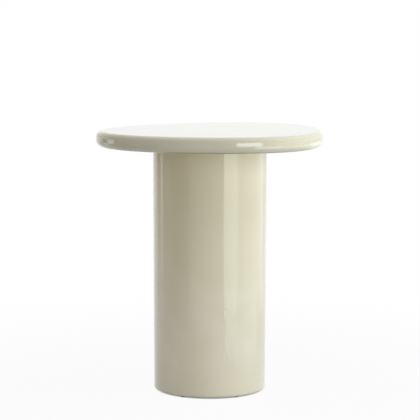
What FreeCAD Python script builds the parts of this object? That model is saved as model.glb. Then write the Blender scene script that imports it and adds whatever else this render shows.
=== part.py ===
import FreeCAD, Part
import math
import os

# A ceramic side table: a thick pebble-shaped top on a wide round column.
# Sizes are in millimetres. The origin is on the floor, in the middle under the table,
# with +Z up, +X to the right and -Y towards someone who stands before it.

# Whole table
overall_height = 500.0
top_width = 432.0
top_depth = 390.0
top_thickness = 30.0

# Outline of the top: waves laid on a circle, each with how many times it goes round
# and its cosine and sine shares of the circle's radius
outline_wave_shares = ((1, -0.12, 0.0), (2, 0.0, 0.04), (3, -0.05, -0.02))
outline_points = 48
outline_samples = 720

# Hollow top: its edges and its wall
upper_edge_radius = 11.5
under_edge_radius = 12.5
top_wall = 8.5
hollow_edge_radius = 3.0

# Hole through the column's head and the seat, which lets air and steam out in the kiln
vent_diameter = 12.0

# Round seat under the top, which takes the head of the column
seat_depth = 6.0
seat_clearance = 1.0
seat_mouth_radius = 1.5

# Hollow column, closed at its head and open at its foot. Its taper is how much less
# it measures across at the foot than at the underside of the top.
column_diameter = 218.0
column_taper = 3.0
column_wall = 14.0
column_head_thickness = 14.0
head_edge_radius = 1.5
foot_edge_radius = 4.0
foot_inner_edge_radius = 1.5
inner_corner_radius = 12.0

# Ring of adhesive between the column's head and the seat, and the seal round the joint
adhesive_thickness = 1.0
adhesive_width = 40.0
adhesive_setback = 2.0
seal_height = 2.5

# Pads under the foot
pad_count = 6
pad_diameter = 8.0
pad_thickness = 2.0
pad_edge_radius = 0.4

# How far cuts run past a face, and how close two places are taken as the same
overrun = 1.0
same_place = 0.01

# Heights that the sizes above give
underside = overall_height - top_thickness
seat_ceiling = underside + seat_depth
head_height = seat_ceiling - adhesive_thickness
foot_height = pad_thickness


def column_radius(height):
    """Outer radius of the column at a height; its full diameter is at the underside."""
    fall_share = (underside - height) / (underside - foot_height)
    return (column_diameter - column_taper * fall_share) / 2


seat_radius = column_radius(underside) + seat_clearance


def unit_outline(angle):
    """Point and direction of the top's outline at an angle, before it is given its size."""
    radius = 1
    slope = 0
    for waves, cosine_share, sine_share in outline_wave_shares:
        turn = waves * angle
        radius += cosine_share * math.cos(turn) + sine_share * math.sin(turn)
        slope += waves * (sine_share * math.cos(turn) - cosine_share * math.sin(turn))
    point = (radius * math.cos(angle), radius * math.sin(angle))
    direction = (slope * math.cos(angle) - point[1], slope * math.sin(angle) + point[0])
    return point, direction


def outline_fit():
    """Middle and scale of the outline, across and front to back, that give its full size."""
    points = [unit_outline(math.tau * step / outline_samples)[0] for step in range(outline_samples)]
    fit = []
    for side, size in enumerate((top_width, top_depth)):
        low = min(point[side] for point in points)
        high = max(point[side] for point in points)
        fit.append(((low + high) / 2, size / (high - low)))
    return fit


def outline_wire(inset, height):
    """Closed curve that runs at an even distance inside the top's outline."""
    (middle_x, scale_x), (middle_y, scale_y) = outline_fit()
    points = []
    for step in range(outline_points):
        point, direction = unit_outline(math.tau * step / outline_points)
        along_x = direction[0] * scale_x
        along_y = direction[1] * scale_y
        length = math.hypot(along_x, along_y)
        x = (point[0] - middle_x) * scale_x - inset * along_y / length
        y = (point[1] - middle_y) * scale_y + inset * along_x / length
        points.append(FreeCAD.Vector(x, y, height))
    curve = Part.BSplineCurve()
    curve.interpolate(Points=points, PeriodicFlag=True)
    return Part.Wire(curve.toShape())


def edges_at(shape, height):
    """Edges of a shape that lie flat at a height."""
    found = []
    for edge in shape.Edges:
        box = edge.BoundBox
        if abs(box.ZMin - height) < same_place and abs(box.ZMax - height) < same_place:
            found.append(edge)
    return found


def rounded_slab(inset, bottom, top, lower_radius, upper_radius):
    """Slab with the top's outline, rounded along its lower and upper edges."""
    face = Part.Face(outline_wire(inset, bottom))
    slab = face.extrude(FreeCAD.Vector(0, 0, top - bottom))
    slab = slab.makeFillet(lower_radius, edges_at(slab, bottom))
    return slab.makeFillet(upper_radius, edges_at(slab, top))


def disc(radius, bottom, top):
    """Upright round disc or rod on the table's axis."""
    return Part.makeCylinder(radius, top - bottom, FreeCAD.Vector(0, 0, bottom))


def turned_ring(corners):
    """Ring turned about the axis, from corners of (radius, height, rounding)."""
    edges = []
    starts = []
    ends = []
    for number, (radius, height, rounding) in enumerate(corners):
        corner = FreeCAD.Vector(radius, 0, height)
        before = corners[number - 1]
        after = corners[(number + 1) % len(corners)]
        back = (FreeCAD.Vector(before[0], 0, before[1]) - corner).normalize()
        ahead = (FreeCAD.Vector(after[0], 0, after[1]) - corner).normalize()
        if rounding == 0:
            starts.append(corner)
            ends.append(corner)
            continue
        half_angle = back.getAngle(ahead) / 2
        reach = rounding / math.tan(half_angle)
        inward = (back + ahead).normalize()
        start = corner + back * reach
        middle = corner + inward * (rounding / math.sin(half_angle) - rounding)
        end = corner + ahead * reach
        edges.append(Part.Arc(start, middle, end).toShape())
        starts.append(start)
        ends.append(end)
    for number, start in enumerate(starts):
        edges.append(Part.LineSegment(ends[number - 1], start).toShape())
    wire = Part.Wire(Part.__sortEdges__(edges))
    return Part.Face(wire).revolve(FreeCAD.Vector(0, 0, 0), FreeCAD.Vector(0, 0, 1), 360)


def make_table_top():
    """Hollow slab with the seat for the column and the vent in its underside."""
    outside = rounded_slab(0, underside, overall_height, under_edge_radius, upper_edge_radius)
    hollow_floor = underside + top_wall
    hollow_roof = overall_height - top_wall
    hollow = rounded_slab(top_wall, hollow_floor, hollow_roof, hollow_edge_radius, hollow_edge_radius)
    seat_skin = disc(seat_radius + top_wall, hollow_floor - overrun, seat_ceiling + top_wall)
    seat = disc(seat_radius, underside - overrun, seat_ceiling)
    vent = disc(vent_diameter / 2, seat_ceiling - overrun, seat_ceiling + top_wall + overrun)
    shell = outside.cut(hollow.cut(seat_skin)).cut(seat).cut(vent)
    mouth = [edge for edge in edges_at(shell, underside) if is_seat_mouth(edge)]
    return shell.makeFillet(seat_mouth_radius, mouth)


def is_seat_mouth(edge):
    """Tell the round edge of the seat from the long edge of the underside."""
    return edge.BoundBox.XMax < seat_radius + same_place


def make_column():
    """Turned shell like an upside-down cup, with the vent in the middle of its head."""
    ceiling = head_height - column_head_thickness
    return turned_ring((
        (column_radius(foot_height), foot_height, foot_edge_radius),
        (column_radius(head_height), head_height, head_edge_radius),
        (vent_diameter / 2, head_height, 0),
        (vent_diameter / 2, ceiling, 0),
        (column_radius(ceiling) - column_wall, ceiling, inner_corner_radius),
        (column_radius(foot_height) - column_wall, foot_height, foot_inner_edge_radius),
    ))


def make_adhesive_bed():
    """Flat ring of adhesive between the column's head and the ceiling of the seat."""
    outer = column_radius(head_height) - head_edge_radius - adhesive_setback
    bed = disc(outer, head_height, seat_ceiling)
    return bed.cut(disc(outer - adhesive_width, head_height - overrun, seat_ceiling + overrun))


def make_joint_seal():
    """Thin ring that closes the gap between the column and the wall of the seat."""
    low = underside + seat_mouth_radius
    high = low + seal_height
    return turned_ring((
        (column_radius(low), low, 0),
        (seat_radius, low, 0),
        (seat_radius, high, 0),
        (column_radius(high), high, 0),
    ))


def make_foot_pad(number):
    """Round pad on the middle of the foot's flat, one of an even ring of them."""
    flat_outer = column_radius(foot_height) - foot_edge_radius
    flat_inner = column_radius(foot_height) - column_wall + foot_inner_edge_radius
    ring_radius = (flat_outer + flat_inner) / 2
    angle = math.tau * number / pad_count
    place = FreeCAD.Vector(ring_radius * math.cos(angle), ring_radius * math.sin(angle), 0)
    pad = Part.makeCylinder(pad_diameter / 2, pad_thickness, place)
    return pad.makeFillet(pad_edge_radius, edges_at(pad, 0))


def save(shape, name):
    """Write one piece under its name."""
    solid = shape.Solids[0]
    solid.exportStep(os.path.join("parts", name + ".step"))


os.makedirs("parts", exist_ok=True)
save(make_table_top(), "table_top")
save(make_column(), "column")
save(make_adhesive_bed(), "adhesive_bed")
save(make_joint_seal(), "joint_seal")
for pad_number in range(pad_count):
    save(make_foot_pad(pad_number), f"foot_pad_{pad_number + 1}")
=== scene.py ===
import math

import bmesh
import bpy
from bpy.props import FloatProperty, FloatVectorProperty, IntProperty, PointerProperty
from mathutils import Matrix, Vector


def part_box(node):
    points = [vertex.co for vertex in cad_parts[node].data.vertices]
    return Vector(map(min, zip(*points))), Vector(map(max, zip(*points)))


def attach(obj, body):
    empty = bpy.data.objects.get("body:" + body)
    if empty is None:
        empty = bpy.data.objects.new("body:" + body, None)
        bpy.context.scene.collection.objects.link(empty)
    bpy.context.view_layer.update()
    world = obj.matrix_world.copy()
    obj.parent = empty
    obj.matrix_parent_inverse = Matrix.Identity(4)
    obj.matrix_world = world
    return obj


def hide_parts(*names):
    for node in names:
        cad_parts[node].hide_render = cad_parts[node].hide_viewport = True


bl_info = {
    "name": "Ceramic Side Table",
    "version": (1, 0, 0),
    "blender": (4, 5, 0),
    "location": "3D View > Sidebar > Side Table",
    "description": "Models and glazes a pebble-topped ceramic side table on its column",
    "category": "Add Mesh",
}

# Everything is in metres, with the origin on the floor in the middle under the table,
# +Z up, +X to the right and -Y towards someone who stands before it.
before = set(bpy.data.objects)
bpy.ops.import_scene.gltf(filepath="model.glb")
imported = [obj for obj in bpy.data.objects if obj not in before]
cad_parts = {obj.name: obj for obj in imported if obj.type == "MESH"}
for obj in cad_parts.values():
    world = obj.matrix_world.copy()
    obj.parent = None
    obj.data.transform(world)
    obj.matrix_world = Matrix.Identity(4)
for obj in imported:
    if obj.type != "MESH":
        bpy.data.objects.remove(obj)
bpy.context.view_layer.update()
top_low, top_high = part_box("table_top")
column_low, column_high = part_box("column")
adhesive_low, adhesive_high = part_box("adhesive_bed")
seal_low, seal_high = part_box("joint_seal")
pad_low, pad_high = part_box("foot_pad_1")

# How close two places are taken as the same, how many points measure the outline, and how
# many pads stand under the foot
NEAR = 0.00001
OUTLINE_SAMPLES = 720
PAD_COUNT = 6

# Faces across a wide, a small and a tiny rounded edge, and round the smaller pieces
WIDE_EDGE_STEPS = 8
SMALL_EDGE_STEPS = 4
TINY_EDGE_STEPS = 3
ADHESIVE_SIDES = 160
PAD_SIDES = 48

# Edges sharper than this stay sharp, on the castings and pads and on the rings
SHARP_ANGLE = math.radians(35)
RING_SHARP_ANGLE = math.radians(50)


# Settings
class TopSettings(bpy.types.PropertyGroup):
    """Sizes of the pebble-shaped table top."""
    width: FloatProperty(
        name="Width", description="Size of the top across",
        default=top_high.x - top_low.x, unit="LENGTH")
    depth: FloatProperty(
        name="Depth", description="Size of the top from front to back",
        default=top_high.y - top_low.y, unit="LENGTH")
    cosine_shares: FloatVectorProperty(
        name="Lengthways waves", size=3, default=(-0.12, 0.0, -0.05),
        description="Cosine shares of the one, two and three waves in the outline")
    sine_shares: FloatVectorProperty(
        name="Crossways waves", size=3, default=(0.0, 0.04, -0.02),
        description="Sine shares of the one, two and three waves in the outline")
    sides: IntProperty(
        name="Sides", description="Number of points round the outline", default=256)
    upper_edge: FloatProperty(
        name="Upper edge", description="Rounding of the upper edge",
        default=0.0115, unit="LENGTH")
    under_edge: FloatProperty(
        name="Under edge", description="Rounding of the edge underneath",
        default=0.0125, unit="LENGTH")
    edge_steps: IntProperty(
        name="Edge steps", description="Faces across each rounded edge", default=12)
    wall: FloatProperty(
        name="Wall", description="Thickness of the hollow casting",
        default=0.0085, unit="LENGTH")
    hollow_edge: FloatProperty(
        name="Hollow edge", description="Rounding of the hollow's edges",
        default=0.003, unit="LENGTH")
    seat_radius: FloatProperty(
        name="Seat", description="Radius of the seat for the column",
        default=seal_high.x, unit="LENGTH")
    seat_mouth: FloatProperty(
        name="Seat mouth", description="Rounding of the seat's mouth",
        default=0.0015, unit="LENGTH")
    vent_radius: FloatProperty(
        name="Vent", description="Radius of the hole that lets steam out in the kiln",
        default=0.006, unit="LENGTH")


class ColumnSettings(bpy.types.PropertyGroup):
    """Sizes of the hollow column."""
    head_radius: FloatProperty(
        name="Head radius", description="Outer radius at the head",
        default=0.109016, unit="LENGTH")
    foot_radius: FloatProperty(
        name="Foot radius", description="Outer radius at the foot",
        default=0.1075, unit="LENGTH")
    wall: FloatProperty(
        name="Wall", description="Thickness of the wall", default=0.014, unit="LENGTH")
    head_thickness: FloatProperty(
        name="Head thickness", description="Thickness of the closed head",
        default=0.014, unit="LENGTH")
    sides: IntProperty(name="Sides", description="Number of points round", default=256)
    rows: IntProperty(name="Rows", description="Cuts up the outside", default=64)
    foot_edge: FloatProperty(
        name="Foot edge", description="Rounding of the foot's outer edge",
        default=0.004, unit="LENGTH")
    foot_inner_edge: FloatProperty(
        name="Inner foot edge", description="Rounding of the foot's inner edge",
        default=0.0015, unit="LENGTH")
    head_edge: FloatProperty(
        name="Head edge", description="Rounding of the head's edge",
        default=0.0015, unit="LENGTH")
    inner_corner: FloatProperty(
        name="Inner corner", description="Rounding inside under the head",
        default=0.012, unit="LENGTH")


class SmallPieceSettings(bpy.types.PropertyGroup):
    """Sizes of what joins the two castings and of the pads."""
    adhesive_width: FloatProperty(
        name="Adhesive width", description="Width of the ring of adhesive",
        default=0.04, unit="LENGTH")
    adhesive_edge: FloatProperty(
        name="Adhesive edge", description="Rounding of the squeezed-out edge",
        default=0.00045, unit="LENGTH")
    seal_edge: FloatProperty(
        name="Seal edge", description="Rounding of the seal's edges",
        default=0.0002, unit="LENGTH")
    pad_radius: FloatProperty(
        name="Pad radius", description="Radius of a foot pad",
        default=0.004, unit="LENGTH")
    pad_edge: FloatProperty(
        name="Pad edge", description="Rounding of a pad's lower edge",
        default=0.0004, unit="LENGTH")


class GlazeSettings(bpy.types.PropertyGroup):
    """Colours of the glaze and of the clay under it and of the shade painted into the glaze, and how
    uneven the castings are.
    """
    top_thick: FloatVectorProperty(
        name="Thick on top", description="Colour of the top where the glaze lies thick",
        subtype="COLOR", default=(0.74, 0.705, 0.55))
    top_thin: FloatVectorProperty(
        name="Thin on top", description="Colour of the top where the glaze lies thin",
        subtype="COLOR", default=(0.705, 0.67, 0.505))
    wall_thick: FloatVectorProperty(
        name="Thick on the wall", description="Colour of the column where the glaze lies thick",
        subtype="COLOR", default=(0.755, 0.705, 0.56))
    wall_thin: FloatVectorProperty(
        name="Thin on the wall", description="Colour of the column where the glaze lies thin",
        subtype="COLOR", default=(0.72, 0.67, 0.51))
    # Painted shade: the warmer colour high on the column stands in for the shade under the top.
    painted_upper_shade: FloatVectorProperty(
        name="Upper glaze", description="Colour high on the column, where the glaze ran down",
        subtype="COLOR", default=(0.76, 0.685, 0.47))
    edge: FloatVectorProperty(
        name="Edge", description="Colour where the glaze breaks over an edge",
        subtype="COLOR", default=(0.60, 0.555, 0.40))
    # Painted shade: the dark colour in a thin band low on the rim stands in for the shade under its
    # lower edge.
    painted_rim_shade: FloatVectorProperty(
        name="Lip", description="Colour where the glaze is thinnest, low on the rim",
        subtype="COLOR", default=(0.28, 0.24, 0.16))
    clay: FloatVectorProperty(
        name="Clay", description="Colour of the fired clay",
        subtype="COLOR", default=(0.60, 0.50, 0.38))
    speck: FloatVectorProperty(
        name="Speck", description="Colour of the rare iron specks",
        subtype="COLOR", default=(0.30, 0.21, 0.12))
    unevenness: FloatProperty(
        name="Unevenness", description="How far the castings dip from true",
        default=0.00025, unit="LENGTH")


class StudioSettings(bpy.types.PropertyGroup):
    """Camera, floor and lights."""
    camera_place: FloatVectorProperty(
        name="Camera", description="Where the camera stands",
        subtype="TRANSLATION", default=(0.0003, -3.5836, 0.7849))
    camera_pitch: FloatProperty(
        name="Pitch", description="How far the camera looks down",
        subtype="ANGLE", default=math.radians(6.99))
    camera_roll: FloatProperty(
        name="Roll", description="How far the camera leans",
        subtype="ANGLE", default=math.radians(0.085))
    camera_lens: FloatProperty(
        name="Lens", description="Focal length in millimetres", default=161.74)
    floor_size: FloatProperty(
        name="Floor", description="Size of the floor", default=30.0, unit="LENGTH")
    floor_shade: FloatProperty(
        name="Floor shade", description="How much light the floor throws back up",
        subtype="FACTOR", default=0.4)
    room_light: FloatProperty(
        name="Room", description="Strength of the light from all round", default=0.0)


# Modelling
def take(piece):
    """Select one piece alone."""
    bpy.ops.object.select_all(action="DESELECT")
    piece.select_set(True)
    bpy.context.view_layer.objects.active = piece


def open_mesh(piece):
    """Take one piece and go into its mesh."""
    take(piece)
    bpy.ops.object.mode_set(mode="EDIT")


def close_mesh():
    """Leave the mesh."""
    bpy.ops.object.mode_set(mode="OBJECT")


def new_piece(name):
    """Name the primitive that was just added and put its place into its mesh."""
    piece = bpy.context.active_object
    piece.name = name
    piece.data.name = name
    bpy.ops.object.transform_apply(location=True, rotation=True, scale=True)
    return piece


def pick_all():
    """Select the whole mesh."""
    bpy.ops.mesh.select_all(action="SELECT")


def pick(kind, wanted, open_only=False):
    """Select the faces or edges, or the open edges, whose every corner is wanted."""
    bpy.ops.mesh.select_mode(type=kind)
    bpy.ops.mesh.select_all(action="DESELECT")
    mesh = bmesh.from_edit_mesh(bpy.context.edit_object.data)
    found = 0
    for part in mesh.edges if kind == "EDGE" else mesh.faces:
        if open_only and len(part.link_faces) > 1:
            continue
        if all(wanted(corner.co) for corner in part.verts):
            part.select_set(True)
            found += 1
    bmesh.update_edit_mesh(bpy.context.edit_object.data)
    if not found:
        raise RuntimeError("nothing was found to select")


def at_height(height):
    """Test for what lies flat at a height."""
    return lambda point: abs(point.z - height) < NEAR


def on_ring(radius, height):
    """Test for what lies on a level ring about the axis."""
    return lambda point: (
        abs(point.z - height) < NEAR and abs(point.xy.length - radius) < NEAR)


def extrude_up(height):
    """Extrude the picked edges straight up, or down."""
    bpy.ops.mesh.extrude_edges_move(TRANSFORM_OT_translate={"value": (0, 0, height)})


def extrude_level(share):
    """Extrude the picked edges level, towards the axis or away from it."""
    bpy.ops.mesh.extrude_edges_move()
    bpy.ops.transform.resize(value=(share, share, 1), center_override=(0, 0, 0))


def lay_on_ring(radius):
    """Move the picked points level, on to a ring about the axis."""
    mesh = bmesh.from_edit_mesh(bpy.context.edit_object.data)
    for point in mesh.verts:
        if point.select:
            point.co.xy = point.co.xy.normalized() * radius
    bmesh.update_edit_mesh(bpy.context.edit_object.data)


def bevel(offset, steps):
    """Round the picked edges."""
    bpy.ops.mesh.bevel(
        offset_type="OFFSET", offset=offset, segments=steps, profile=0.5,
        affect="EDGES", clamp_overlap=False)


def point_outwards():
    """Turn every face of a closed shell outwards."""
    pick_all()
    bpy.ops.mesh.normals_make_consistent(inside=False)


def finish_shading(piece, angle=SHARP_ANGLE):
    """Shade the curves smooth and keep the flats flat."""
    take(piece)
    bpy.ops.object.shade_smooth_by_angle(angle=angle)
    bpy.ops.object.modifier_add(type="WEIGHTED_NORMAL")
    weighted = piece.modifiers[-1]
    weighted.keep_sharp = True
    bpy.ops.object.modifier_apply(modifier=weighted.name)


def unit_outline(settings, angle):
    """Point and direction of the top's outline at an angle, before it has its size."""
    radius, slope = 1.0, 0.0
    shares = zip(settings.cosine_shares, settings.sine_shares)
    for waves, (cosine_share, sine_share) in enumerate(shares, start=1):
        cosine, sine = math.cos(waves * angle), math.sin(waves * angle)
        radius += cosine_share * cosine + sine_share * sine
        slope += waves * (sine_share * cosine - cosine_share * sine)
    point = Vector((radius * math.cos(angle), radius * math.sin(angle)))
    direction = Vector((
        slope * math.cos(angle) - point.y, slope * math.sin(angle) + point.x))
    return point, direction


def outline_fit(settings):
    """Middle and scale of the outline, across and front to back."""
    points = [
        unit_outline(settings, math.tau * step / OUTLINE_SAMPLES)[0]
        for step in range(OUTLINE_SAMPLES)]
    fit = []
    for side, size in enumerate((settings.width, settings.depth)):
        low = min(point[side] for point in points)
        high = max(point[side] for point in points)
        fit.append(((low + high) / 2, size / (high - low)))
    return fit


def lay_outline(piece, settings, inset):
    """Move a circle's points to the pebble outline, at an even distance inside it."""
    (middle_x, scale_x), (middle_y, scale_y) = outline_fit(settings)
    for vertex in piece.data.vertices:
        point, direction = unit_outline(settings, math.atan2(vertex.co.y, vertex.co.x))
        along = Vector((direction.x * scale_x, direction.y * scale_y)).normalized()
        vertex.co.x = (point.x - middle_x) * scale_x - inset * along.y
        vertex.co.y = (point.y - middle_y) * scale_y + inset * along.x


def pebble_slab(name, settings, inset, bottom, top, under_edge, upper_edge):
    """Slab with the top's outline and rounded edges, open underneath."""
    bpy.ops.object.select_all(action="DESELECT")
    bpy.ops.mesh.primitive_circle_add(
        vertices=settings.sides, radius=settings.width / 2, fill_type="NGON",
        location=(0, 0, bottom))
    slab = new_piece(name)
    lay_outline(slab, settings, inset)
    open_mesh(slab)
    pick_all()
    bpy.ops.mesh.extrude_region_move(
        TRANSFORM_OT_translate={"value": (0, 0, top - bottom)})
    point_outwards()
    pick("EDGE", at_height(top))
    bevel(upper_edge, settings.edge_steps)
    pick("EDGE", at_height(bottom))
    bevel(under_edge, settings.edge_steps)
    pick("FACE", at_height(bottom))
    bpy.ops.mesh.delete(type="ONLY_FACE")
    close_mesh()
    return slab


def shape_seat(top, settings, seat_ceiling):
    """Make the underside, the seat in it and the vent through to the hollow."""
    underside = top_low.z
    hollow_floor = underside + settings.wall
    inner_ceiling = seat_ceiling + settings.wall
    outer_radius = settings.seat_radius + settings.wall
    open_mesh(top)
    pick("EDGE", at_height(underside), open_only=True)
    bpy.ops.mesh.extrude_edges_move()
    lay_on_ring(settings.seat_radius)
    extrude_up(seat_ceiling - underside)
    pick("EDGE", on_ring(settings.seat_radius, seat_ceiling))
    extrude_level(settings.vent_radius / settings.seat_radius)
    pick("EDGE", on_ring(settings.vent_radius, seat_ceiling))
    extrude_up(settings.wall)
    pick("EDGE", on_ring(settings.vent_radius, inner_ceiling))
    extrude_level(outer_radius / settings.vent_radius)
    pick("EDGE", on_ring(outer_radius, inner_ceiling))
    extrude_up(hollow_floor - inner_ceiling)
    pick("EDGE", on_ring(settings.seat_radius, underside))
    bevel(settings.seat_mouth, SMALL_EDGE_STEPS)
    close_mesh()


def join_hollow(top, hollow, hollow_floor):
    """Turn the hollow's shell inwards and join it to the outside through the vent."""
    open_mesh(hollow)
    pick_all()
    bpy.ops.mesh.flip_normals()
    close_mesh()
    take(top)
    hollow.select_set(True)
    bpy.ops.object.join()
    open_mesh(top)
    pick("EDGE", at_height(hollow_floor), open_only=True)
    bpy.ops.mesh.bridge_edge_loops()
    point_outwards()
    close_mesh()


def grid_the_top(top, settings):
    """Give the flat on top an even net of faces, which can take an uneven surface."""
    open_mesh(top)
    pick("FACE", at_height(top_high.z))
    bpy.ops.mesh.delete(type="ONLY_FACE")
    pick("EDGE", at_height(top_high.z), open_only=True)
    bpy.ops.mesh.fill_grid(span=settings.sides // 4)
    close_mesh()


def fade(value, start, end):
    """Smooth step from 0 at start to 1 at end."""
    share = min(1.0, max(0.0, (value - start) / (end - start)))
    return share * share * (3 - 2 * share)


def make_uneven(piece, depth, weight_at, cloud_size):
    """Dip the surface a little, as a hand-finished casting does, and never raise it."""
    group = piece.vertex_groups.new(name="uneven")
    for vertex in piece.data.vertices:
        weight = weight_at(vertex.co)
        if weight > 0:
            group.add([vertex.index], weight, "REPLACE")
    cloud = bpy.data.textures.new(piece.name + "_clouds", "CLOUDS")
    cloud.noise_scale = cloud_size
    cloud.noise_depth = 1
    take(piece)
    bpy.ops.object.modifier_add(type="DISPLACE")
    dips = piece.modifiers[-1]
    dips.texture = cloud
    dips.texture_coords = "LOCAL"
    dips.mid_level = 1.0
    dips.strength = depth
    dips.vertex_group = group.name
    bpy.ops.object.modifier_apply(modifier=dips.name)
    piece.vertex_groups.clear()


def section_ring(name, inner, outer, low, high, edge, steps, sides):
    """Level ring spun from its cross-section, with rounded edges."""
    bpy.ops.object.select_all(action="DESELECT")
    bpy.ops.mesh.primitive_plane_add(
        size=1, location=((inner + outer) / 2, 0, (low + high) / 2),
        rotation=(math.radians(90), 0, 0))
    ring = new_piece(name)
    open_mesh(ring)
    pick_all()
    bpy.ops.transform.resize(
        value=(outer - inner, 1, high - low),
        center_override=((inner + outer) / 2, 0, (low + high) / 2))
    bpy.ops.mesh.bevel(
        offset_type="OFFSET", offset=edge, segments=steps, profile=0.5,
        affect="VERTICES", clamp_overlap=False)
    pick_all()
    bpy.ops.mesh.delete(type="ONLY_FACE")
    bpy.ops.mesh.select_mode(type="EDGE")
    pick_all()
    bpy.ops.mesh.spin(
        steps=sides, angle=math.tau, use_auto_merge=True,
        center=(0, 0, 0), axis=(0, 0, 1))
    pick_all()
    bpy.ops.mesh.remove_doubles(threshold=NEAR / 10)
    point_outwards()
    close_mesh()
    return ring


# Materials
def put(tree, kind, inputs=None, **settings):
    """Add a node, set it, and link or fill its inputs."""
    made = tree.nodes.new(kind)
    for name, value in settings.items():
        setattr(made, name, value)
    for name, value in (inputs or {}).items():
        if isinstance(value, bpy.types.NodeSocket):
            tree.links.new(value, made.inputs[name])
        else:
            made.inputs[name].default_value = value
    return made


def math_node(tree, operation, first, second=0.0):
    """One step of arithmetic."""
    return put(tree, "ShaderNodeMath", {0: first, 1: second}, operation=operation).outputs[0]


def times(tree, first, second):
    """Product of two values."""
    return math_node(tree, "MULTIPLY", first, second)


def between(tree, value, low, high, start=0.0, end=1.0, kind="SMOOTHSTEP"):
    """The start value up to low, the end value from high on, and a change in between."""
    return put(tree, "ShaderNodeMapRange", {
        "Value": value, "From Min": low, "From Max": high, "To Min": start, "To Max": end,
    }, interpolation_type=kind).outputs["Result"]


def noise(tree, vector, scale, detail=2.0):
    """Soft noise in the piece's own space."""
    return put(tree, "ShaderNodeTexNoise", {
        "Vector": vector, "Scale": scale, "Detail": detail}).outputs["Fac"]


def stretched(tree, place, scale):
    """Place measured with another scale along each axis."""
    return put(tree, "ShaderNodeMapping", {"Vector": place, "Scale": scale}).outputs[0]


def mix_colour(tree, share, first, second):
    """Mix two colours; either may be a colour or a socket."""
    made = put(tree, "ShaderNodeMix", {"Factor": share}, data_type="RGBA")
    for number, value in ((6, first), (7, second)):
        if isinstance(value, bpy.types.NodeSocket):
            tree.links.new(value, made.inputs[number])
        else:
            made.inputs[number].default_value = (*value, 1)
    return made.outputs[2]


def mix_value(tree, share, first, second):
    """Mix two numbers."""
    return put(
        tree, "ShaderNodeMix", {0: share, 2: first, 3: second}, data_type="FLOAT").outputs[0]


def empty_material(name):
    """Material that so far has only a place in the piece's own space."""
    material = bpy.data.materials.new(name)
    material.use_nodes = True
    tree = material.node_tree
    tree.nodes.clear()
    return material, tree, put(tree, "ShaderNodeTexCoord").outputs["Object"]


def new_material(name):
    """Material with a surface whose inputs are still open."""
    material, tree, place = empty_material(name)
    surface = put(tree, "ShaderNodeBsdfPrincipled")
    put(tree, "ShaderNodeOutputMaterial", {"Surface": surface.outputs["BSDF"]})
    return material, tree, place, surface


def bump(tree, height, distance, under=None):
    """Small relief, laid over another one."""
    inputs = {"Height": height, "Distance": distance, "Strength": 1.0}
    if under is not None:
        inputs["Normal"] = under
    return put(tree, "ShaderNodeBump", inputs).outputs["Normal"]


def split_up(tree, place):
    """A place's distances to the right, to the back and up."""
    return put(tree, "ShaderNodeSeparateXYZ", {"Vector": place}).outputs


def radius_from_axis(tree, place):
    """Distance of a place from the table's axis."""
    right, back = split_up(tree, place)[:2]
    squared = math_node(tree, "ADD", times(tree, right, right), times(tree, back, back))
    return math_node(tree, "SQRT", squared)


# Roughness of the glaze from place to place and of the bare clay, and the refractive index
# of the glaze's clear skin and of the coloured layer under it
GLAZE_ROUGHNESS = (0.03, 0.08)
CLAY_ROUGHNESS = 0.8
SKIN_INDEX = 1.52
BODY_INDEX = 1.12

# How fine each pattern in the glaze, the clay and the edge of the painted shade is, in features to
# the metre
POOLS = 11.0
STREAKS = (60, 60, 2.5)
UPPER_SHADE_WAVES = 9.0
SPECKS = 45.0
SLOW_WAVES = 26.0
RIPPLES = (120, 120, 90)
PEEL = 380.0
GLOSS_PATCHES = 30.0
WIPED_EDGE = 120.0
CLAY_GRAINS = 900.0


def add_streaks(tree, place, colour, thin):
    """Faint upright streaks where the glaze ran thin."""
    thinning = (0.5, 0.75)
    strength = 0.25
    streaks = between(tree, noise(tree, stretched(tree, place, STREAKS), 1.0, detail=3.0), *thinning)
    return mix_colour(tree, times(tree, streaks, strength), colour, thin)


def paint_upper_shade(tree, place, height, colour, painted_upper_shade, upper_shade_heights):
    """Painted shade: warmer colour high on a wall, under the top, with a wavy lower edge."""
    waviness = 0.12
    noise_middle = 0.5
    waves = math_node(tree, "SUBTRACT", noise(tree, place, UPPER_SHADE_WAVES), noise_middle)
    uneven_height = math_node(tree, "ADD", height, times(tree, waves, waviness))
    return mix_colour(tree, between(tree, uneven_height, *upper_shade_heights, kind="LINEAR"), colour, painted_upper_shade)


def add_band(tree, height, colour, middle, reach, strength, showing):
    """Other colour in a level band, strongest at its middle."""
    away = math_node(tree, "ABSOLUTE", math_node(tree, "SUBTRACT", height, middle))
    share = times(tree, between(tree, away, reach, 0.0), strength)
    return mix_colour(tree, share, colour, showing)


def add_specks(tree, place, colour, speck):
    """Iron specks in the few cells whose chance is above the rarity."""
    rarity = 0.72
    outer_radius = 0.022
    core_radius = 0.012
    strength = 0.5
    cells = put(tree, "ShaderNodeTexVoronoi", {"Vector": place, "Scale": SPECKS})
    rare = math_node(tree, "GREATER_THAN", cells.outputs["Color"], rarity)
    dots = times(tree, between(tree, cells.outputs["Distance"], outer_radius, core_radius), rare)
    return mix_colour(tree, times(tree, dots, strength), colour, speck)


def bare_share(tree, place, height, bare_radius, bare_below, bare_ceiling):
    """Where the clay is bare: inside, and at the foot up to a line wiped by hand."""
    wiped_fade = (0.0014, 0.0004)
    raggedness = 0.0015
    inner_blur = 0.001
    radius = radius_from_axis(tree, place)
    ragged = times(tree, noise(tree, place, WIPED_EDGE), raggedness)
    wiped = between(
        tree, math_node(tree, "ADD", height, ragged), *(bare_below + up for up in wiped_fade))
    inside = times(
        tree, between(tree, radius, bare_radius, bare_radius - inner_blur),
        math_node(tree, "LESS_THAN", height, bare_ceiling))
    return math_node(tree, "MAXIMUM", wiped, inside)


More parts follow.
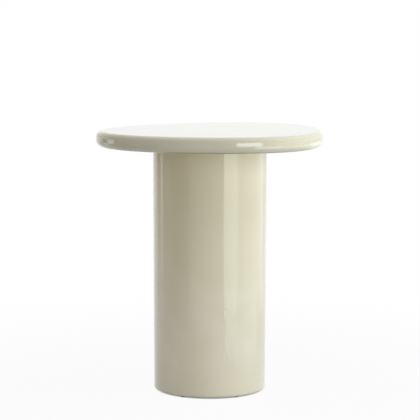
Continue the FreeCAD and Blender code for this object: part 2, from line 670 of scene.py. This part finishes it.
def add_ripples(tree, place, under):
    """Low ripples near the foot, where a flow of glaze came to rest at the front right."""
    depth = 0.0006
    bottom_fade = (0.055, 0.08)
    top_fade = (0.205, 0.18)
    left_fade = (0.018, 0.03)
    right_fade = (0.056, 0.042)
    right, back, height = split_up(tree, place)
    where = math_node(tree, "LESS_THAN", back, 0.0)
    for value, fade_in in (
            (height, bottom_fade), (height, top_fade), (right, left_fade), (right, right_fade)):
        where = times(tree, where, between(tree, value, *fade_in))
    waves = noise(tree, stretched(tree, place, RIPPLES), 1.0, detail=1.0)
    return bump(tree, times(tree, waves, where), depth, under)


def glaze_relief(tree, place, grains, bare, rippled):
    """Slow waves and a fine peel in the glaze, and grains in the bare clay."""
    wave_depth = 0.0001
    peel_depth = 0.000006
    grain_depth = 0.0003
    relief = bump(tree, noise(tree, place, SLOW_WAVES, detail=1.0), wave_depth)
    if rippled:
        relief = add_ripples(tree, place, relief)
    relief = bump(tree, noise(tree, place, PEEL, detail=1.0), peel_depth, relief)
    return bump(tree, times(tree, grains, bare), grain_depth, relief)


def glaze_material(name, glaze, thick, thin, bands, bare_radius, bare_below, bare_ceiling, upper_shade_heights=None):
    """Glossy cream glaze over fired clay, wiped off the foot, with level bands where the glaze thins
    over an edge or where shade is painted in, and a warmer painted shade high on a wall.
    """
    pool_edge = (0.35, 0.65)
    grain_edge = (0.3, 0.7)
    material, tree, place, surface = new_material(name)
    height = split_up(tree, place)["Z"]
    pools = between(tree, noise(tree, place, POOLS), *pool_edge)
    colour = add_streaks(tree, place, mix_colour(tree, pools, thin, thick), thin)
    # Painted shade high on the wall, under the top
    if upper_shade_heights:
        colour = paint_upper_shade(tree, place, height, colour, glaze.painted_upper_shade, upper_shade_heights)
    for band in bands:
        colour = add_band(tree, height, colour, *band)
    colour = add_specks(tree, place, colour, glaze.speck)
    bare = bare_share(tree, place, height, bare_radius, bare_below, bare_ceiling)
    grains = noise(tree, place, CLAY_GRAINS, detail=3.0)
    clay = mix_colour(tree, between(tree, grains, *grain_edge), glaze.clay, glaze.edge)
    gloss = between(
        tree, noise(tree, place, GLOSS_PATCHES), 0.0, 1.0, *GLAZE_ROUGHNESS, "LINEAR")
    rough = mix_value(tree, bare, gloss, CLAY_ROUGHNESS)
    relief = glaze_relief(tree, place, grains, bare, upper_shade_heights is not None)
    for socket, value in (
            ("Base Color", mix_colour(tree, bare, colour, clay)),
            ("Roughness", rough), ("Coat Roughness", rough),
            ("Normal", relief), ("Coat Normal", relief),
            ("Coat Weight", math_node(tree, "SUBTRACT", 1.0, bare))):
        tree.links.new(value, surface.inputs[socket])
    surface.inputs["Coat IOR"].default_value = SKIN_INDEX
    surface.inputs["IOR"].default_value = BODY_INDEX
    return material


def soft_material(name, colour, dark, roughness, grain, relief):
    """Rubber, sealant or adhesive: fine grain and slight mottling."""
    patch_edge = (0.3, 0.7)
    grains_to_a_patch = 12
    roughness_spread = 0.1
    material, tree, place, surface = new_material(name)
    fine = noise(tree, place, grain, detail=3.0)
    patches = noise(tree, place, grain / grains_to_a_patch)
    blend = times(tree, math_node(tree, "ADD", fine, patches), 0.5)
    rough = between(
        tree, fine, 0.0, 1.0, roughness - roughness_spread, roughness + roughness_spread,
        "LINEAR")
    for socket, value in (
            ("Base Color", mix_colour(tree, between(tree, blend, *patch_edge), dark, colour)),
            ("Roughness", rough), ("Normal", bump(tree, fine, relief))):
        tree.links.new(value, surface.inputs[socket])
    return material


def dress(piece, material, slot, *nodes):
    """Give a piece its material, hide the parts of the model it stands for, and hang it on the root
    body.
    """
    piece.data.materials.clear()
    piece.data.materials.append(material)
    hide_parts(*nodes)
    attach(piece, "root")


# How strongly the glaze breaks over the edges, and how strongly the painted shade darkens a thin
# band low on the rim, with that band's height above the underside and its reach up and down from
# there
EDGE_STRENGTH = 0.45
RIM_SHADE_STRENGTH = 0.8
RIM_SHADE_HEIGHT = 0.0016
RIM_SHADE_REACH = 0.0015

# How far past the wall of the seat the bare clay reaches
BARE_PAST_SEAT = 0.001

# How far above the foot its darker band has its middle, and its reach from there
FOOT_BAND_MIDDLE = 0.001
FOOT_BAND_REACH = 0.005

# Heights between which the glaze on the column turns to the warmer painted shade under the top
UPPER_SHADE_HEIGHTS = (0.12, 0.47)

# Size across of the dips in the two castings
TOP_DIPS = 0.07
COLUMN_DIPS = 0.06

# The column's unevenness is full this many roundings above its foot, and fades out between
# these distances under the top
FULL_AT_ROUNDINGS = 6
NECK_FADE = (0.02, 0.002)


# Operators
class SIDETABLE_OT_table_top(bpy.types.Operator):
    """Model the pebble-shaped table top and glaze it"""
    bl_idname = "sidetable.table_top"
    bl_label = "Table Top"

    def execute(self, context):
        settings = context.scene.table_top_settings
        glaze = context.scene.table_glaze_settings
        underside, surface = top_low.z, top_high.z
        hollow_floor = underside + settings.wall
        top = pebble_slab(
            "glazed_top", settings, 0.0, underside, surface,
            settings.under_edge, settings.upper_edge)
        grid_the_top(top, settings)
        make_uneven(
            top, glaze.unevenness,
            lambda point: fade(point.z, underside, underside + settings.under_edge), TOP_DIPS)
        shape_seat(top, settings, adhesive_high.z)
        hollow = pebble_slab(
            "hollow", settings, settings.wall, hollow_floor, surface - settings.wall,
            settings.hollow_edge, settings.hollow_edge)
        join_hollow(top, hollow, hollow_floor)
        finish_shading(top)
        upper_half = settings.upper_edge / 2
        bands = (
            (surface - upper_half, upper_half, EDGE_STRENGTH, glaze.edge),
            (underside, settings.under_edge / 2, EDGE_STRENGTH, glaze.edge),
            # Painted shade in a thin band low on the rim, under its lower edge
            (underside + RIM_SHADE_HEIGHT, RIM_SHADE_REACH, RIM_SHADE_STRENGTH, glaze.painted_rim_shade))
        material = glaze_material(
            "cream_glaze_on_top", glaze, glaze.top_thick, glaze.top_thin, bands,
            settings.seat_radius + BARE_PAST_SEAT, 0, surface - settings.wall / 2)
        dress(top, material, "cream_glaze", "table_top")
        return {"FINISHED"}


class SIDETABLE_OT_column(bpy.types.Operator):
    """Model the hollow column and glaze it"""
    bl_idname = "sidetable.column"
    bl_label = "Column"

    def execute(self, context):
        settings = context.scene.table_column_settings
        glaze = context.scene.table_glaze_settings
        vent_radius = context.scene.table_top_settings.vent_radius
        foot, head = column_low.z, column_high.z
        column = self.model_shell(settings, vent_radius, foot, head)
        make_uneven(
            column, glaze.unevenness,
            lambda point: self.wall_weight(point, settings, foot), COLUMN_DIPS)
        finish_shading(column)
        foot_band = (foot + FOOT_BAND_MIDDLE, FOOT_BAND_REACH, EDGE_STRENGTH, glaze.edge)
        # The column's glaze gets a warmer painted shade high up, under the top
        material = glaze_material(
            "cream_glaze_on_column", glaze, glaze.wall_thick, glaze.wall_thin, (foot_band,),
            settings.foot_radius - settings.wall / 2, foot, head, UPPER_SHADE_HEIGHTS)
        dress(column, material, "cream_glaze", "column")
        return {"FINISHED"}

    def model_shell(self, settings, vent_radius, foot, head):
        """Cup turned upside down, with a vent in the middle of its closed head."""
        ceiling = head - settings.head_thickness
        fall = (settings.head_radius - settings.foot_radius) / (head - foot)
        inner_foot = settings.foot_radius - settings.wall
        inner_head = settings.foot_radius + fall * (ceiling - foot) - settings.wall
        bpy.ops.object.select_all(action="DESELECT")
        bpy.ops.mesh.primitive_cone_add(
            vertices=settings.sides, radius1=settings.foot_radius,
            radius2=settings.head_radius, depth=head - foot, end_fill_type="NGON",
            location=(0, 0, (foot + head) / 2))
        column = new_piece("glazed_column")
        open_mesh(column)
        pick("FACE", at_height(foot))
        bpy.ops.mesh.inset(thickness=settings.wall)
        bpy.ops.mesh.extrude_region_move(
            TRANSFORM_OT_translate={"value": (0, 0, ceiling - foot)})
        bpy.ops.transform.resize(
            value=(inner_head / inner_foot, inner_head / inner_foot, 1),
            center_override=(0, 0, 0))
        bpy.ops.mesh.inset(thickness=inner_head - vent_radius)
        bpy.ops.mesh.delete(type="ONLY_FACE")
        pick("FACE", at_height(head))
        bpy.ops.mesh.inset(thickness=settings.head_radius - vent_radius)
        bpy.ops.mesh.delete(type="ONLY_FACE")
        pick("EDGE", lambda point: point.xy.length < vent_radius + NEAR, open_only=True)
        bpy.ops.mesh.bridge_edge_loops()
        for radius, height, edge, steps in (
                (settings.foot_radius, foot, settings.foot_edge, WIDE_EDGE_STEPS),
                (inner_foot, foot, settings.foot_inner_edge, SMALL_EDGE_STEPS),
                (inner_head, ceiling, settings.inner_corner, WIDE_EDGE_STEPS),
                (settings.head_radius, head, settings.head_edge, SMALL_EDGE_STEPS)):
            pick("EDGE", on_ring(radius, height))
            bevel(edge, steps)
        self.cut_rows(settings, inner_head)
        point_outwards()
        close_mesh()
        return column

    def cut_rows(self, settings, inner_head):
        """Cut the outside into even rows."""
        bpy.ops.mesh.select_mode(type="EDGE")
        bpy.ops.mesh.select_all(action="DESELECT")
        mesh = bmesh.from_edit_mesh(bpy.context.edit_object.data)
        long_edge = (column_high.z - column_low.z) / 2
        for edge in mesh.edges:
            first, second = (corner.co for corner in edge.verts)
            outside = min(first.xy.length, second.xy.length) > inner_head + settings.wall / 2
            if outside and abs(first.z - second.z) > long_edge:
                edge.select_set(True)
        bmesh.update_edit_mesh(bpy.context.edit_object.data)
        bpy.ops.mesh.subdivide(number_cuts=settings.rows)

    def wall_weight(self, point, settings, foot):
        """Where the outside may be uneven: not at the foot and not in the joint."""
        if point.xy.length < settings.foot_radius - settings.wall / 2:
            return 0.0
        edge = settings.foot_edge
        up = fade(point.z, foot + edge, foot + edge * FULL_AT_ROUNDINGS)
        return up * (1 - fade(point.z, *(top_low.z - down for down in NECK_FADE)))


class SIDETABLE_OT_adhesive(bpy.types.Operator):
    """Model the ring of adhesive between the column and the top"""
    bl_idname = "sidetable.adhesive"
    bl_label = "Adhesive Ring"

    def execute(self, context):
        settings = context.scene.table_small_settings
        ring = section_ring(
            "adhesive_ring", adhesive_high.x - settings.adhesive_width, adhesive_high.x,
            adhesive_low.z, adhesive_high.z, settings.adhesive_edge, SMALL_EDGE_STEPS,
            ADHESIVE_SIDES)
        finish_shading(ring, RING_SHARP_ANGLE)
        material = soft_material(
            "set_adhesive", colour=(0.56, 0.53, 0.46), dark=(0.46, 0.43, 0.37),
            roughness=0.6, grain=500.0, relief=0.0001)
        dress(ring, material, "adhesive", "adhesive_bed")
        return {"FINISHED"}


class SIDETABLE_OT_seal(bpy.types.Operator):
    """Model the seal that closes the joint round the column"""
    bl_idname = "sidetable.seal"
    bl_label = "Joint Seal"

    def execute(self, context):
        settings = context.scene.table_small_settings
        column = context.scene.table_column_settings
        share = (seal_low.z - column_low.z) / (column_high.z - column_low.z)
        inner = column.foot_radius + share * (column.head_radius - column.foot_radius)
        bead = section_ring(
            "seal_bead", inner, seal_high.x, seal_low.z, seal_high.z,
            settings.seal_edge, TINY_EDGE_STEPS, column.sides)
        finish_shading(bead, RING_SHARP_ANGLE)
        material = soft_material(
            "cream_sealant", colour=(0.66, 0.62, 0.50), dark=(0.58, 0.54, 0.43),
            roughness=0.4, grain=400.0, relief=0.00005)
        dress(bead, material, "seal", "joint_seal")
        return {"FINISHED"}


class SIDETABLE_OT_pads(bpy.types.Operator):
    """Model the ring of pads under the foot"""
    bl_idname = "sidetable.pads"
    bl_label = "Foot Pads"

    def execute(self, context):
        settings = context.scene.table_small_settings
        material = soft_material(
            "grey_rubber", colour=(0.22, 0.21, 0.20), dark=(0.16, 0.15, 0.14),
            roughness=0.7, grain=900.0, relief=0.00008)
        pads = [self.model_pad(settings)]
        for number in range(1, PAD_COUNT):
            pads.append(self.turned_copy(pads[0], number))
        for number, pad in enumerate(pads, start=1):
            dress(pad, material, "pad", f"foot_pad_{number}")
        return {"FINISHED"}

    def model_pad(self, settings):
        """Round pad with a rounded lower edge and a shallow dish in its sole."""
        rim_width = settings.pad_radius / 4
        dish_slope = settings.pad_edge / 2
        dish_depth = settings.pad_edge / 3
        bpy.ops.object.select_all(action="DESELECT")
        bpy.ops.mesh.primitive_cylinder_add(
            vertices=PAD_SIDES, radius=settings.pad_radius, depth=pad_high.z - pad_low.z,
            location=(pad_low + pad_high) / 2)
        pad = new_piece("rubber_pad_1")
        open_mesh(pad)
        pick("EDGE", at_height(pad_low.z))
        bevel(settings.pad_edge, TINY_EDGE_STEPS)
        pick("FACE", at_height(pad_low.z))
        bpy.ops.mesh.inset(thickness=rim_width)
        bpy.ops.mesh.inset(thickness=dish_slope, depth=-dish_depth)
        close_mesh()
        finish_shading(pad)
        return pad

    def turned_copy(self, pad, number):
        """Copy of the pad further round the foot; with no window, a turn runs the other way."""
        take(pad)
        bpy.ops.object.duplicate()
        copy = bpy.context.active_object
        copy.name = f"rubber_pad_{number + 1}"
        copy.data.name = copy.name
        open_mesh(copy)
        pick_all()
        bpy.ops.transform.rotate(
            value=-math.tau * number / PAD_COUNT, orient_axis="Z",
            center_override=(0, 0, 0))
        close_mesh()
        return copy


class SIDETABLE_OT_studio(bpy.types.Operator):
    """Set the floor, the lights and the camera"""
    bl_idname = "sidetable.studio"
    bl_label = "Studio"

    def execute(self, context):
        scene = context.scene
        settings = scene.table_studio_settings
        scene.view_settings.view_transform = "Standard"
        lay_floor(settings)
        light_room(scene, settings)
        for name, softbox in SOFTBOXES.items():
            hang_softbox(name, **softbox)
        for name, card in CARDS.items():
            stand_card(name, **card)
        place_camera(scene, settings)
        return {"FINISHED"}


# Studio

# Colours of the lights and cards
WHITE = (1.0, 1.0, 1.0)
DAYLIGHT = (0.9, 1.0, 0.98)
COOL = (0.96, 0.99, 1.0)
COOLER = (0.94, 0.985, 1.0)
WARM = (1.0, 0.98, 0.94)

# Softboxes, with degrees counted round from the camera towards +X and the reach from the axis
SOFTBOXES = {
    "softbox_left": dict(degrees=-120, reach=2.5, height=1.2, watts=15),
    "softbox_low_left": dict(degrees=-90, reach=2.2, height=0.8, watts=10),
    "softbox_front": dict(degrees=0, reach=2.5, height=0.6, watts=6),
    "softbox_front_right": dict(degrees=40, reach=2.4, height=0.8, watts=18, colour=COOLER),
    "softbox_low_right": dict(degrees=75, reach=2.2, height=0.8, watts=19, colour=COOLER),
    "softbox_behind_right": dict(degrees=110, reach=2.5, height=0.9, watts=7, colour=COOLER),
    "softbox_over_front": dict(degrees=0, reach=1.1, height=2.3, watts=7),
    "softbox_over_right": dict(degrees=90, reach=1.1, height=2.3, watts=28, colour=COOL),
    "fill_at_foot": dict(degrees=-12, reach=0.45, height=0.13, watts=0.21, width=0.3, aim=0.0),
}

# Width of a softbox and the height it is aimed at unless it says otherwise, and its height
# as a share of its width
SOFTBOX_WIDTH = 1.8
SOFTBOX_AIM = 0.3
SOFTBOX_SHARE = 5 / 6

# Where a card stands unless it says otherwise: its reach from the axis, and there the heights
# that the column mirrors. The rim mirrors the band above. Near the floor all cards fade out.
CARD_REACH = 0.75
COLUMN_BAND = (0, 0.425)
RIM_BAND = (0.412, 0.5)
CARD_FADE = (0, 0.05)

# Cards that only the glaze mirrors: degrees from and to, lowest and highest point, and how
# much each darkens or lights up what is behind it at those two heights. A shield is a plain
# white card that hides the window from most other sides.
NOTHING = (0, 0)
SHIELD = dict(heights=(0.43, 0.66), dark=(1, 1), glow=(1, 1), colour=WHITE)
CARDS = {
    "window_card": dict(degrees=(11.2, 35), heights=(0.21, 1.27), glow=(5.8, 5.8), reach=3),
    "left_shield": dict(degrees=(-8, 10.5), **SHIELD),
    "right_shield": dict(degrees=(36.5, 55), **SHIELD),
    "strip_card": dict(degrees=(26.5, 54), glow=(1.2, 3.2)),
    "low_card": dict(degrees=(24.6, 100), heights=(0, 0.2), glow=(1.2, 0), reach=0.4),
    "side_card": dict(degrees=(54, 106), glow=(0.2, 1.6)),
    "edge_card": dict(degrees=(106, 128), glow=(0.2, 1.5)),
    "rear_card": dict(degrees=(128, 145), glow=(0, 0.3)),
    "left_card": dict(degrees=(-98, -87), heights=RIM_BAND, glow=(1.2, 1.2)),
    "wide_screen": dict(degrees=(-80, -38), heights=(0, 0.5), dark=(0.6, 0.4)),
    "edge_screen": dict(degrees=(-102.5, -80), dark=(0.3, 0.35)),
    "narrow_screen": dict(degrees=(-125, -112), dark=(0, 0.6)),
    "narrow_card": dict(degrees=(-111, -103), glow=(0, 0.5)),
    "left_post": dict(degrees=(-113, -103), heights=RIM_BAND, dark=(0.9, 0.9)),
    "right_post": dict(degrees=(-87, -82), heights=RIM_BAND, dark=(0.9, 0.9)),
}

# Share of plain white in the floor, where the rest is paint that takes the table's shadow:
# the share close by and between which distances it rises to 1, and the share under the foot
# and how far in from the column's side it rises
NEAR_WHITE = 0.95
NEAR_WHITE_RISE = (0.25, 1.2)
FOOT_WHITE = 0.25
FOOT_WHITE_RISE = (0.0105, 0.0025)


def seen_directly(tree):
    """1 where the camera sees a surface, also in the glaze or through glass, and else 0."""
    path = put(tree, "ShaderNodeLightPath")
    seen = math_node(tree, "MAXIMUM", path.outputs["Is Camera Ray"], path.outputs["Is Glossy Ray"])
    return math_node(tree, "MAXIMUM", seen, path.outputs["Is Transmission Ray"])


def lay_floor(settings):
    """Pale floor that reads white and keeps a faint shadow of the table."""
    bpy.ops.object.select_all(action="DESELECT")
    bpy.ops.mesh.primitive_plane_add(size=settings.floor_size, location=(0, 0, 0))
    floor = bpy.context.active_object
    floor.name = "studio_floor"
    material, tree, place = empty_material("pale_floor")
    distance = radius_from_axis(tree, place)
    grey = settings.floor_shade
    paint = put(tree, "ShaderNodeBsdfDiffuse", {"Color": (grey, grey, grey, 1)})
    shine = put(tree, "ShaderNodeEmission", {"Color": (*WHITE, 1), "Strength": 1.0})
    close_by = between(tree, distance, *NEAR_WHITE_RISE, NEAR_WHITE)
    foot_rise = (column_high.x - inwards for inwards in FOOT_WHITE_RISE)
    under_foot = between(tree, distance, *foot_rise, FOOT_WHITE)
    share = times(tree, seen_directly(tree), times(tree, close_by, under_foot))
    mixed = put(tree, "ShaderNodeMixShader", {
        0: share, 1: paint.outputs[0], 2: shine.outputs[0]})
    put(tree, "ShaderNodeOutputMaterial", {"Surface": mixed.outputs[0]})
    floor.data.materials.append(material)


def light_room(scene, settings):
    """Room that reads white where it is seen."""
    world = bpy.data.worlds.new("white_room")
    scene.world = world
    world.use_nodes = True
    tree = world.node_tree
    tree.nodes.clear()
    strength = mix_value(tree, seen_directly(tree), settings.room_light, 1.0)
    white = put(tree, "ShaderNodeBackground", {"Color": (*WHITE, 1), "Strength": strength})
    put(tree, "ShaderNodeOutputWorld", {"Surface": white.outputs[0]})


def place_round(degrees, reach, height):
    """Place round the table, at an angle counted from the camera towards +X."""
    angle = math.radians(degrees)
    return Vector((reach * math.sin(angle), -reach * math.cos(angle), height))


def hang_softbox(
        name, degrees, reach, height, watts, colour=WARM, width=SOFTBOX_WIDTH, aim=SOFTBOX_AIM):
    """Soft light aimed at a height; the glaze mirrors the white room instead of it."""
    place = place_round(degrees, reach, height)
    bpy.ops.object.select_all(action="DESELECT")
    bpy.ops.object.light_add(type="AREA", location=place)
    light = bpy.context.active_object
    light.name = name
    light.rotation_euler = (Vector((0, 0, aim)) - place).to_track_quat("-Z", "Y").to_euler()
    light.data.shape = "RECTANGLE"
    light.data.size = width
    light.data.size_y = width * SOFTBOX_SHARE
    light.data.energy = watts
    light.data.color = colour
    light.visible_camera = False
    light.visible_glossy = False


def card_material(name, low, high, dark, glow, colour):
    """Clear card that darkens or lights up what is behind it, by its height."""
    material, tree, place = empty_material(name)
    height = split_up(tree, place)["Z"]
    here = between(tree, height, *CARD_FADE)
    darkened, added = (
        times(tree, here, between(tree, height, low, high, *ends, "LINEAR"))
        for ends in (dark, glow))
    clear = put(tree, "ShaderNodeBsdfTransparent", {
        "Color": math_node(tree, "SUBTRACT", 1.0, darkened)})
    shine = put(tree, "ShaderNodeEmission", {"Color": (*colour, 1), "Strength": added})
    both = put(tree, "ShaderNodeAddShader", {0: clear.outputs[0], 1: shine.outputs[0]})
    put(tree, "ShaderNodeOutputMaterial", {"Surface": both.outputs[0]})
    return material


def stand_card(
        name, degrees, heights=COLUMN_BAND, reach=CARD_REACH, dark=NOTHING, glow=NOTHING,
        colour=DAYLIGHT):
    """Upright card that only the glaze mirrors."""
    low, high = heights
    first, last = (place_round(edge, reach, (low + high) / 2) for edge in degrees)
    along = last - first
    bpy.ops.object.select_all(action="DESELECT")
    bpy.ops.mesh.primitive_plane_add(
        size=1, location=(first + last) / 2,
        rotation=(math.radians(90), 0, math.atan2(along.y, along.x)))
    bpy.context.active_object.scale = (along.length, high - low, 1)
    card = new_piece(name)
    card.data.materials.append(card_material(name, low, high, dark, glow, colour))
    card.visible_camera = False
    card.visible_diffuse = False
    card.visible_transmission = False
    card.visible_shadow = False


def place_camera(scene, settings):
    """Camera where the photograph was taken from."""
    bpy.ops.object.select_all(action="DESELECT")
    bpy.ops.object.camera_add(
        location=settings.camera_place,
        rotation=(math.radians(90) - settings.camera_pitch, 0, 0))
    camera = bpy.context.active_object
    camera.name = "studio_camera"
    camera.rotation_euler.rotate_axis("Z", settings.camera_roll)
    camera.data.lens = settings.camera_lens
    camera.data.sensor_width = 36.0
    camera.data.clip_start = 0.1
    camera.data.clip_end = 100.0
    scene.camera = camera


# Add-on
class SIDETABLE_PT_maker(bpy.types.Panel):
    """Buttons that make the table piece by piece"""
    bl_label = "Side Table"
    bl_idname = "SIDETABLE_PT_maker"
    bl_space_type = "VIEW_3D"
    bl_region_type = "UI"
    bl_category = "Side Table"

    def draw(self, context):
        for step in STEPS:
            self.layout.operator(step.bl_idname)


STEPS = (
    SIDETABLE_OT_table_top, SIDETABLE_OT_column, SIDETABLE_OT_adhesive,
    SIDETABLE_OT_seal, SIDETABLE_OT_pads, SIDETABLE_OT_studio)
SETTINGS = {
    "table_top_settings": TopSettings,
    "table_column_settings": ColumnSettings,
    "table_small_settings": SmallPieceSettings,
    "table_glaze_settings": GlazeSettings,
    "table_studio_settings": StudioSettings,
}


def register():
    """Make the settings, the operators and the panel known."""
    for name, group in SETTINGS.items():
        bpy.utils.register_class(group)
        setattr(bpy.types.Scene, name, PointerProperty(type=group))
    for step in (*STEPS, SIDETABLE_PT_maker):
        bpy.utils.register_class(step)


def unregister():
    """Take them away again."""
    for step in reversed((*STEPS, SIDETABLE_PT_maker)):
        bpy.utils.unregister_class(step)
    for name, group in SETTINGS.items():
        delattr(bpy.types.Scene, name)
        bpy.utils.unregister_class(group)


def main():
    """Make the whole table."""
    register()
    bpy.ops.sidetable.table_top()
    bpy.ops.sidetable.column()
    bpy.ops.sidetable.adhesive()
    bpy.ops.sidetable.seal()
    bpy.ops.sidetable.pads()
    bpy.ops.sidetable.studio()


if __name__ == "__main__":
    main()
